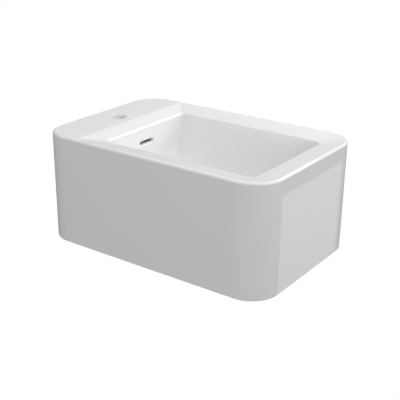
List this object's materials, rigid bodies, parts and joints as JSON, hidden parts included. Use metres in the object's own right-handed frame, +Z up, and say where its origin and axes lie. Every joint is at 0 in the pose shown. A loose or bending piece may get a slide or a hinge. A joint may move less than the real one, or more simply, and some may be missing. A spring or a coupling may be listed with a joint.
{
  "type": "wall-hung bidet",
  "caption": "Wall-hung bidet: white glazed ceramic with a full skirt, tap deck, sunk rim round a near rectangular bowl, overflow slot, click-clack waste and hidden wall studs.",
  "frame": {"origin": "on the wall face, midway between the two wall studs", "axes": "+Y into the wall, -Y towards the bidet's front, +X to the right seen from the front of the wall looking at it, +Z up"},
  "size_m": [0.36, 0.58, 0.232],
  "materials": {
    "glazed_ceramic": "white gloss glaze",
    "chromed_brass": "polished chrome plate",
    "brass": "turned, unplated",
    "rubber": "matt black",
    "white_plastic": "moulded, satin",
    "grey_plastic": "moulded, satin",
    "zinc_steel": "bright zinc plate",
    "spring_steel": "bright drawn wire"
  },
  "bodies": {
    "bidet": {"ceramic_body": "glazed_ceramic", "waste_body": "chromed_brass", "waste_flange_seal": "rubber", "cone_gasket": "rubber", "slip_washer": "white_plastic", "waste_lock_nut": "brass", "cartridge_housing": "grey_plastic", "guide_bush": "white_plastic", "stem_seal": "rubber", "cartridge_spring": "spring_steel", "wall_studs": "zinc_steel", "stud_sleeves": "white_plastic", "stud_washers": "zinc_steel", "stud_nuts": "zinc_steel"},
    "plug": {"plug_cap": "chromed_brass", "plug_seal": "rubber", "plug_stem": "brass", "plug_lock_nut": "brass", "thrust_washer": "zinc_steel"},
    "rotor": {"cam_rotor": "grey_plastic"}
  },
  "joints": [
    {"name": "plug_press", "type": "slide", "parent": "bidet", "child": "plug", "axis": [0, 0, 1], "range_m": [-0.01, 0], "stiffness_N_per_m": 400, "springref_m": 0.012, "deforming": ["cartridge_spring"]},
    {"name": "cam_turn", "type": "hinge", "parent": "plug", "child": "rotor", "pos_m": [0, -0.235, -0.074], "axis": [0, 0, 1], "range_deg": [0, 46]}
  ],
  "couplings": [
    {"joint": "cam_turn", "follows": "plug_press", "rad_per_m": -78.54}
  ]
}
